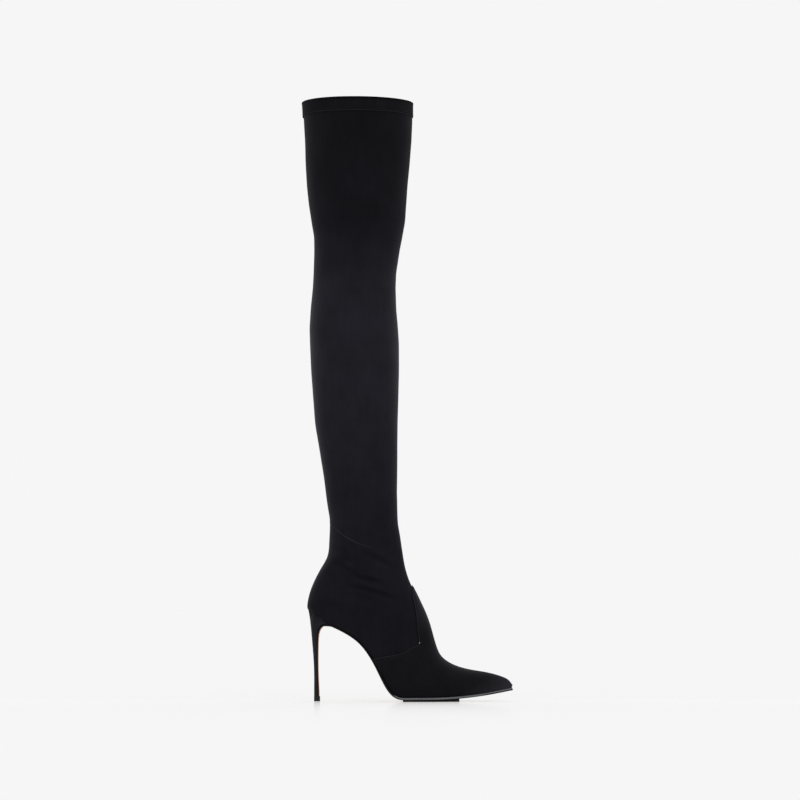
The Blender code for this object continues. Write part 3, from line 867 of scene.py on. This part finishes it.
@dataclass(frozen=True)
class StitchRow:
    """A row of small lockstitches along a path on a surface."""

    pitch: float = 0.0030
    length: float = 0.0022
    thickness: float = 0.0004
    lift: float = 0.00005

    def sew(self, name: str, path: list[Vector], ground: BVHTree, thread: Material,
            closed: bool = False) -> Piece:
        """Make the row.

        Args:
            name: The piece's name.
            path: Where the row runs, close to the surface.
            ground: The surface that it is sewn into.
            thread: The thread's material.
            closed: Whether the path closes on itself.

        Returns:
            The stitches as one object.
        """
        spots = resample(path, self.pitch, closed)
        made = bmesh.new()
        for start, end in zip(spots, spots[1:] + (spots[:1] if closed else [])):
            spot, facing, _, _ = ground.find_nearest((start + end) / 2)
            along = (end - start).normalized()
            across = facing.cross(along).normalized()
            lay_bead(made, spot, facing * self.lift, (along, across, along.cross(across)),
                     (self.length, self.thickness, self.thickness), STITCH_FACES)
        return to_object(name, made, thread)


def cut_loop(piece: Piece, spot: Vector, facing: Vector) -> list[Vector]:
    """Return the closed line where a plane cuts an open skin, in order.

    Args:
        piece: The skin.
        spot: A point of the plane.
        facing: The plane's direction.

    Returns:
        The line's points.
    """
    source = bmesh.new()
    source.from_mesh(piece.data)
    cut = bmesh.ops.bisect_plane(source, geom=source.verts[:] + source.edges[:] + source.faces[:],
                                 plane_co=spot, plane_no=facing)["geom_cut"]
    points = walk({item for item in cut if isinstance(item, bmesh.types.BMEdge)})
    source.free()
    return points


def walk(edges: set[bmesh.types.BMEdge]) -> list[Vector]:
    """Put the points of a chain or ring of edges in order.

    Args:
        edges: The edges of the chain.

    Returns:
        The points, from one end of a chain, or round a ring from its innermost side by way of its front.
    """
    links: dict[bmesh.types.BMVert, list[bmesh.types.BMVert]] = {}
    for edge in sorted(edges, key=lambda item: item.index):
        first, second = edge.verts
        links.setdefault(first, []).append(second)
        links.setdefault(second, []).append(first)
    ends = [vertex for vertex, others in links.items() if len(others) == 1]
    here = ends[0] if ends else max(links, key=lambda vertex: vertex.co.y)
    path, seen = [here], {here}
    while True:
        following = [vertex for vertex in links[here] if vertex not in seen]
        if not following:
            return [vertex.co.copy() for vertex in path]
        here = max(following, key=lambda vertex: vertex.co.x)
        path.append(here)
        seen.add(here)


# The boot's sub-assemblies


@dataclass
class Upper:
    """The stretch-suede foot and shaft: one smooth skin with its folds and its wall."""

    wall: float = 0.0014
    fine_from: float = 0.20
    steepness: float = 0.7
    seam_radius: float = 0.0006
    seam_sink: float = 0.0003
    seam_fade_from: float = 0.042
    seam_fade_over: float = 0.040
    seam_least: float = 0.3
    ankle_seam: tuple[Point, ...] = ((0.014, 0.1980), (0.017, 0.1948), (0.0225, 0.1885), (0.030, 0.1825),
                                     (0.039, 0.1775), (0.0475, 0.1730), (0.063, 0.1695), (0.083, 0.1665),
                                     (0.092, 0.1650))
    skin: Piece | None = None
    ground: BVHTree | None = None

    def build(self, frame: dict) -> None:
        """Make the skin, fold it, sew the ankle seam and give the skin its wall.

        Args:
            frame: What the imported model's loading returned.
        """
        source = merged_copy(frame["nodes"]["upper"])
        keep_outer_skin(source)
        self.halve_long_faces(source)
        self.skin = to_object("upper_suede", source, UPPER_SUEDE.build(), LINING.build())
        subdivide(self.skin)
        self.fold()
        self.ground = surface_tree(self.skin)
        self.sew_ankle_seam()
        thicken(self.skin, self.wall, 1)
        dress(self.skin, "black_suede", "upper")

    def halve_long_faces(self, source: Shape) -> None:
        """Cut the shaft's long faces once across, so that folds have points enough."""
        steep = []
        for edge in source.edges:
            run = edge.verts[1].co - edge.verts[0].co
            low = min(vertex.co.z for vertex in edge.verts)
            if abs(run.z) > self.steepness * run.length and low > self.fine_from:
                steep.append(edge)
        bmesh.ops.subdivide_edges(source, edges=steep, cuts=1, use_grid_fill=True)

    def fold(self) -> None:
        """Press the soft folds into the skin and keep how deep each point lies for the suede's shade."""
        mesh = self.skin.data
        places, facing = coordinates(mesh), normals(mesh)
        moved = np.zeros(len(places))
        for fold in ANKLE_FOLDS + KNEE_FOLDS + QUARTER_FOLDS:
            moved += fold.shift(places, facing)
        set_coordinates(mesh, places + facing * moved[:, None])
        shade = mesh.attributes.new("fold", "FLOAT", "POINT")
        shade.data.foreach_set("value", np.clip(moved / FULL_SHADE_DEPTH, -1, 1).astype(np.float32))

    def sew_ankle_seam(self) -> None:
        """Lay the seam that joins the foot to the stretch shaft, slanting down to the instep."""
        path = girdle(self.ankle_seam, self.ground)
        faded = [max(0.0, spot.x - self.seam_fade_from) / self.seam_fade_over for spot in path]
        # The ridge is in the lighter seam suede, a painted highlight along the seam, and thins towards the
        # front
        seam = seam_ridge("ankle_seam", off_surface(path, self.ground, -self.seam_sink), self.seam_radius,
                          [max(self.seam_least, 1 - share) for share in faded], True, SEAM_HIGHLIGHT_SUEDE.build())
        dress(seam, "black_suede")


@dataclass
class Vamp:
    """The suede cover of the forefoot, with its stitched wings and tongue."""

    thickness: float = 0.0009
    stitch_inset: float = 0.0026
    lift: float = 0.0015
    edge_drop: float = 0.0008
    edge_reach: float = 0.0030
    edge_radius: float = 0.0004
    edge_raise: float = 0.0001
    edge_fade: float = 0.02
    edge_curve: float = 1.5
    hug_reach: float = 0.030
    hug_fade: float = 0.010
    hug_from: float = 0.026
    sliver: float = 0.0009
    sliver_from: float = 0.050
    tack_spot: Point = (0.1129, 0.0644)
    tack_length: float = 0.0026
    tack_width: float = 0.0012
    tack_slant: float = 0.35
    tack_lift: float = 0.0002
    middle: Vector = field(default_factory=lambda: Vector((0.150, 0.0, 0.030)))
    edge_low: float = 0.030
    wing_edge_low: float = 0.045
    wing_end: float = 0.085
    hug_step: float = 0.0012
    stitch_step: float = 0.0015

    def build(self, frame: dict, upper: Upper) -> None:
        """Make the cover, press its edge down and stitch it.

        Args:
            frame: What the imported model's loading returned.
            upper: The finished upper, which the cover lies on.
        """
        source = merged_copy(frame["nodes"]["vamp"])
        keep_outer_skin(source)
        checked = [edge for edge in source.edges
                   if min(vertex.co.z for vertex in edge.verts) > self.sliver_from]
        bmesh.ops.dissolve_degenerate(source, dist=self.sliver, edges=checked)
        piece = to_object("vamp_suede_cover", source, VAMP_SUEDE.build())
        subdivide(piece)
        self.hug(piece, upper)
        ground = surface_tree(piece)
        self.stitch(piece, ground, upper)
        # A ridge in the lighter seam suede lies along the sewn edge: a painted highlight line on the edge
        edge = off_surface(resample(self.sewn_edge(piece), FINE_STEP), ground, self.edge_raise)
        seam = seam_ridge("vamp_edge_seam", edge, self.edge_radius, tapered(len(edge), self.edge_fade), False,
                          SEAM_HIGHLIGHT_SUEDE.build())
        dress(seam, "black_suede_vamp")
        thicken(piece, self.thickness)
        dress(piece, "black_suede_vamp", "vamp")

    def sewn_edge(self, piece: Piece) -> list[Vector]:
        """Return the open edge of the wings and the tongue, in order, without the edge at the sole."""
        source = bmesh.new()
        source.from_mesh(piece.data)
        points = walk({edge for edge in source.edges if edge.is_boundary and self.is_sewn(edge)})
        source.free()
        return points

    def is_sewn(self, edge: bmesh.types.BMEdge) -> bool:
        """Tell the wings' and the tongue's edge from the edge that the sole holds."""
        middle = (edge.verts[0].co + edge.verts[1].co) / 2
        return middle.z > self.edge_low and (middle.x > self.wing_end or middle.z > self.wing_edge_low)

    def hug(self, piece: Piece, upper: Upper) -> None:
        """Lay the cover by its sewn edge at an even height over the upper, and lower at the edge itself.

        Args:
            piece: The cover.
            upper: The finished upper.
        """
        places = coordinates(piece.data)
        gap = np.full(len(places), np.inf)
        for spot in resample(self.sewn_edge(piece), self.hug_step):
            gap = np.minimum(gap, np.linalg.norm(places - np.array(spot), axis=1))
        lift = self.lift - self.edge_drop * np.clip(1 - gap / self.edge_reach, 0, 1) ** self.edge_curve
        near = np.clip((self.hug_reach - gap) / self.hug_fade, 0, 1)
        held = near * np.clip((places[:, 2] - self.hug_from) / self.hug_fade, 0, 1)
        for index in np.flatnonzero(held):
            here = Vector(places[index])
            spot, facing, _, _ = upper.ground.find_nearest(here)
            places[index] = here.lerp(spot + facing * lift[index], held[index])
        set_coordinates(piece.data, places)

    def stitch(self, piece: Piece, ground: BVHTree, upper: Upper) -> None:
        """Sew the row beside the edge and the tack at each corner.

        Args:
            piece: The cover.
            ground: Its surface.
            upper: The finished upper.
        """
        edge = resample(rounded_path(self.sewn_edge(piece), 2), self.stitch_step)
        row = []
        for before, here, after in zip(edge, edge[1:], edge[2:]):
            _, facing, _, _ = ground.find_nearest(here)
            inward = facing.cross(after - before).normalized()
            if inward.dot(self.middle - here) < 0:
                inward = -inward
            row.append(ground.find_nearest(here + inward * self.stitch_inset)[0])
        stitches = StitchRow().sew("vamp_stitches", resample(row, FINE_STEP), ground, THREAD.build())
        dress(stitches, "black_suede_vamp")
        self.tack(ground, upper)

    def tack(self, ground: BVHTree, upper: Upper) -> None:
        """Sew the short thick tack where the wing turns into the tongue, on both sides, in a light grey
        thread that is a painted glint.

        Args:
            ground: The cover's surface.
            upper: The finished upper.
        """
        made = bmesh.new()
        x, z = self.tack_spot
        for side in Side:
            spot, facing, _, _ = ground.find_nearest(thrown(x, z, side, upper.ground))
            across = facing.cross(Vector((self.tack_slant, 0, 1)).normalized()).normalized()
            along = across.cross(facing).normalized()
            lay_bead(made, spot, facing * self.tack_lift, (along, across, facing),
                     (self.tack_length, self.tack_width, self.tack_width), TACK_FACES)
        dress(to_object("corner_tacks", made, TACK_GLINT_THREAD.build()), "black_suede_vamp")


@dataclass
class CollarBand:
    """The hem folded over the rim, stitched along its lower edge and joined at the outer side."""

    thickness: float = 0.0006
    fold_down: float = 0.0120
    crown: float = 0.0002
    wrap: float = 0.0030
    corner: float = 0.0002
    rim_reach: float = 0.001
    stitch_height: float = 0.0022
    edge_radius: float = 0.0003
    edge_sink: float = 0.0001
    join_x: float = 0.0707
    join_rows: tuple[float, ...] = (-0.0036, -0.0012, 0.0012, 0.0036)
    join_radius: float = 0.00016
    join_from: float = 0.0008
    join_until: float = 0.0130
    join_fade: float = 0.2

    def build(self, frame: dict) -> None:
        """Make the folded band with its stitches.

        Args:
            frame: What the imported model's loading returned.
        """
        source = merged_copy(frame["nodes"]["collar_band"])
        keep_outer_skin(source)
        low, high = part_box("collar_band")
        self.fold_over(source, (low + high) / 2, high.z)
        piece = to_object("collar_hem", source, BAND_SUEDE.build())
        subdivide(piece)
        ground = surface_tree(piece)
        self.stitch(piece, ground, low.z)
        thicken(piece, self.thickness)
        dress(piece, "black_suede_band", "collar_band")

    def fold_over(self, source: Shape, middle: Vector, top: float) -> None:
        """Carry the skin over the rim and down inside the shaft.

        Args:
            source: The band's skin, which is changed.
            middle: The middle of the shaft.
            top: The rim's height.
        """
        steps = ((self.corner, self.crown), (self.wrap - 2 * self.corner, 0.0), (self.corner, -self.crown),
                 (0.0, -self.fold_down / 2), (0.0, -self.fold_down / 2))
        rim = [edge for edge in source.edges if edge.is_boundary
               and min(vertex.co.z for vertex in edge.verts) > top - self.rim_reach]
        for inward, up in steps:
            made = bmesh.ops.extrude_edge_only(source, edges=rim)["geom"]
            rim = [item for item in made if isinstance(item, bmesh.types.BMEdge)]
            for vertex in {item for item in made if isinstance(item, bmesh.types.BMVert)}:
                away = Vector((vertex.co.x - middle.x, vertex.co.y - middle.y, 0)).normalized()
                vertex.co += Vector((0, 0, up)) - away * inward
        bmesh.ops.recalc_face_normals(source, faces=source.faces)

    def stitch(self, piece: Piece, ground: BVHTree, low: float) -> None:
        """Sew the row along the hem and the short upright join on the outer side.

        Args:
            piece: The band.
            ground: Its surface.
            low: The height of its lower edge.
        """
        thread = THREAD.build()
        loop = cut_loop(piece, Vector((0, 0, low + self.stitch_height)), Vector((0, 0, 1)))
        row = StitchRow(pitch=0.0026, length=0.0019).sew("hem_stitches", loop, ground, thread, True)
        dress(row, "black_suede_band")
        # A ridge in the lighter seam suede runs along the hem's lower edge: a painted highlight line
        loop = cut_loop(piece, Vector((0, 0, low + self.edge_radius)), Vector((0, 0, 1)))
        edge = off_surface(resample(loop, PATH_STEP, True), ground, -self.edge_sink)
        seam = seam_ridge("hem_edge_seam", edge, self.edge_radius, [1.0] * len(edge), True,
                          SEAM_HIGHLIGHT_SUEDE.build())
        dress(seam, "black_suede_band")
        for number, shift in enumerate(self.join_rows, 1):
            line = tuple((self.join_x + shift, low + rise) for rise in (self.join_from, self.join_until))
            upright = side_path(line, Side.OUTER, ground)
            shares = tapered(len(upright), self.join_fade)
            join = seam_ridge(f"hem_join_{number}", upright, self.join_radius, shares, False, thread)
            dress(join, "black_suede_band")


@dataclass
class Heel:
    """The covered stiletto heel with its rubber tip."""

    seat_reach: float = 0.0012
    seat_lift: float = 0.00005
    corner_reach: float = 0.0052
    corner_from: float = 0.0885
    corner_y: float = 0.010
    corner_share: float = 0.4

    def build(self, frame: dict, upper: Upper) -> None:
        """Smooth the heel, carry its cover up to the upper, lay its corners closer and finish the tip.

        Args:
            frame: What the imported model's loading returned.
            upper: The finished upper, which sits in the heel's cup.
        """
        source = merged_copy(frame["nodes"]["heel"])
        for vertex in source.verts:
            spot, facing, _, gap = upper.ground.find_nearest(vertex.co)
            if gap < self.seat_reach:
                vertex.co = spot + facing * self.seat_lift
            elif gap < self.corner_reach and self.is_corner(vertex.co):
                vertex.co = spot + facing * (gap * self.corner_share)
        dress(firm_piece("heel_covered", source, HEEL_SUEDE), "heel_suede", "heel")
        tip = merged_copy(frame["nodes"]["heel_tip"])
        dress(firm_piece("heel_tip_rubber", tip, TIP_RUBBER), "black_rubber", "heel_tip")

    def is_corner(self, spot: Vector) -> bool:
        """Tell whether a point lies at a back corner of the heel's cup."""
        return spot.z > self.corner_from and abs(spot.y) > self.corner_y


def firm_piece(name: str, source: Shape, *finishes: Suede | Grained) -> Piece:
    """Make a smooth piece that keeps its sharp edges nearly sharp.

    Args:
        name: The piece's name.
        source: Its shape.
        finishes: Its finishes, in the order of its faces' indices.

    Returns:
        The piece.
    """
    layer = source.edges.layers.float.new("crease_edge")
    for edge in source.edges:
        if edge.is_manifold and edge.calc_face_angle(0.0) > SHARP_TURN:
            edge[layer] = SHARP_CREASE
    piece = to_object(name, source, *(finish.build() for finish in finishes))
    subdivide(piece)
    return piece


class SolePart(IntEnum):
    """Where each finish of the outsole stands in its list of materials."""

    LEATHER = 0
    PAINTED_REFLECTION = 1
    BLACK_AND_SHADE = 2


@dataclass
class Sole:
    """The leather outsole with its painted edge, the rubber tread and the insole."""

    painted_reflection_from: float = 0.085
    painted_reflection_depth: float = 0.4
    flap_until: float = 0.012
    flap_depth: float = 0.3
    flap_top: float = 0.084
    bed_until: float = 0.030
    bed_depth: float = 0.0006
    edge_turned: float = 0.5
    toe_turned: float = 0.6
    toe_from: float = 0.20
    rounded_turned: float = 0.25
    painted_shade_depth: float = 0.6
    foot_direction: Vector = field(default_factory=lambda: Vector((-0.5, 0, 1)))

    def build(self, frame: dict) -> None:
        """Finish the three plates.

        Args:
            frame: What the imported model's loading returned.
        """
        self.build_outsole(frame["nodes"]["outsole"])
        for node, name, finish, slot in (("tread", "tread_pad", TREAD_RUBBER, "tread_rubber"),
                                         ("insole", "insole_board", BOARD, "insole_leather")):
            dress(firm_piece(name, merged_copy(frame["nodes"][node]), finish), slot, node)

    def build_outsole(self, node: Piece) -> None:
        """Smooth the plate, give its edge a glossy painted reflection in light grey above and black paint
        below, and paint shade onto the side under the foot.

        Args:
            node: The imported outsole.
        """
        source = merged_copy(node)
        source.verts.index_update()
        points = [vertex.co.copy() for vertex in source.verts]
        inner, outer = [], []
        bedded = {}
        for face in source.faces:
            face.material_index = SolePart.PAINTED_REFLECTION if self.is_edge(face) else SolePart.LEATHER
            if face.material_index == SolePart.PAINTED_REFLECTION:
                continue
            corners = [vertex.index for vertex in face.verts]
            if face.normal.dot(self.foot_direction) > 0:
                inner.append(corners)
                bedded |= {vertex: face.normal for vertex in face.verts if vertex.co.x < self.bed_until}
            else:
                outer.append(corners)
        for vertex, facing in bedded.items():
            vertex.co += facing * self.bed_depth
        inner_tree = BVHTree.FromPolygons(points, inner)
        outer_tree = BVHTree.FromPolygons(points, outer)
        piece = firm_piece("outsole_leather", source, SOLE_LEATHER, EDGE_REFLECTION, EDGE_BLACK_AND_SHADE)
        for face in piece.data.polygons:
            inner_gap = inner_tree.find_nearest(face.center)[3]
            outer_gap = outer_tree.find_nearest(face.center)[3]
            depth = outer_gap / (inner_gap + outer_gap)
            if face.material_index or abs(face.normal.y) > self.rounded_turned:
                face.material_index = self.edge_part(face.center, depth)
            # Faces towards the foot get the black finish as painted shade where sole and upper meet
            elif depth > self.painted_shade_depth:
                face.material_index = SolePart.BLACK_AND_SHADE
        dress(piece, "sole_leather", "outsole")

    def is_edge(self, face: bmesh.types.BMFace) -> bool:
        """Tell the plate's edge from its two broad faces."""
        at_toe = face.normal.x > self.toe_turned and face.calc_center_median().x > self.toe_from
        return abs(face.normal.y) > self.edge_turned or at_toe

    def edge_part(self, spot: Vector, depth: float) -> SolePart:
        """Choose the finish of a place on the edge.

        Args:
            spot: The place.
            depth: How far it lies from the plate's outer face towards the foot, as a share of the plate.

        Returns:
            The finish's place in the list of materials.
        """
        # From here to the toe the edge's upper half gets the painted reflection and its lower half the black
        # paint
        if spot.x > self.painted_reflection_from:
            return SolePart.PAINTED_REFLECTION if depth > self.painted_reflection_depth else SolePart.BLACK_AND_SHADE
        on_flap = spot.x < self.flap_until and spot.z < self.flap_top
        return SolePart.LEATHER if on_flap and depth < self.flap_depth else SolePart.BLACK_AND_SHADE


# Studio


@dataclass
class Studio:
    """The pale floor, the soft light and the camera at the photograph's angle."""

    background: Colour = screen(246, 246, 246)
    floor_albedo: float = 0.32
    floor_glow: float = 0.553
    floor_polish: float = 0.5
    polish_reach: float = 0.16
    floor_size: float = 60.0
    sun_strength: float = 0.78
    sun_spread: float = math.radians(100)
    sun_turn: tuple[float, float, float] = (math.radians(-18), math.radians(-14), 0.0)
    distance: float = 4.1
    camera_x: float = 0.0918
    camera_height: float = 0.116
    aim_height: float = 0.33384
    picture_width: float = 0.888
    sensor: float = 36.0

    def build(self) -> None:
        """Make the floor, the world, the sun and the camera."""
        scene = bpy.context.scene
        scene.view_settings.view_transform = "Standard"
        scene.view_settings.look = "None"
        self.lay_floor()
        self.light_world(scene)
        self.hang_sun()
        self.set_camera(scene)

    def lay_floor(self) -> None:
        """Lay the softly lit floor, polished under the boot and matt further away."""
        source = bmesh.new()
        bmesh.ops.create_grid(source, x_segments=2, y_segments=2, size=self.floor_size / 2)
        paint, tree, shader = principled("studio_floor_paint", {
            "Specular IOR Level": 0.0, "Roughness": 0.9, "Coat Roughness": 0.09,
            "Base Color": grey(self.floor_albedo), "Emission Color": grey(self.floor_glow),
            "Emission Strength": 1.0,
        })
        place = tree.add("ShaderNodeTexCoord")
        split = tree.add("ShaderNodeSeparateXYZ", {0: place.outputs["Object"]})
        away = tree.math("DIVIDE", tree.math("ABSOLUTE", split.outputs["Y"]), -self.polish_reach)
        polish = tree.math("MULTIPLY", tree.math("EXPONENT", away), self.floor_polish)
        tree.link(polish, shader.inputs["Coat Weight"])
        to_object("studio_floor", source, paint)

    def light_world(self, scene: bpy.types.Scene) -> None:
        """Surround the boot with even pale light."""
        world = bpy.data.worlds.new("pale_surround")
        world.use_nodes = True
        ground = world.node_tree.nodes["Background"]
        ground.inputs["Color"].default_value = self.background
        ground.inputs["Strength"].default_value = 1.0
        scene.world = world

    def hang_sun(self) -> None:
        """Add a broad soft sun that brings the floor up to the background."""
        lamp = bpy.data.lights.new("soft_top_light", "SUN")
        lamp.energy = self.sun_strength
        lamp.angle = self.sun_spread
        linked("soft_top_light", lamp).rotation_euler = self.sun_turn

    def set_camera(self, scene: bpy.types.Scene) -> None:
        """Place the camera low in front of the boot's outer side."""
        data = bpy.data.cameras.new("photo_camera")
        data.sensor_width = self.sensor
        data.lens = self.sensor * self.distance / self.picture_width
        data.clip_end = 200.0
        camera = linked("photo_camera", data)
        camera.location = (self.camera_x, -self.distance, self.camera_height)
        aim = Vector((self.camera_x, 0, self.aim_height)) - camera.location
        camera.rotation_euler = aim.to_track_quat("-Z", "Y").to_euler()
        scene.camera = camera


def main(frame: dict) -> None:
    """Build the boot's sub-assemblies in order, then the studio.

    Args:
        frame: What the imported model's loading returned.
    """
    logging.basicConfig(level=logging.INFO, format="%(message)s")
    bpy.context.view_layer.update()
    upper = Upper()
    upper.build(frame)
    Vamp().build(frame, upper)
    CollarBand().build(frame)
    Sole().build(frame)
    Heel().build(frame, upper)
    Studio().build()


if __name__ == "__main__":
    main(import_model())
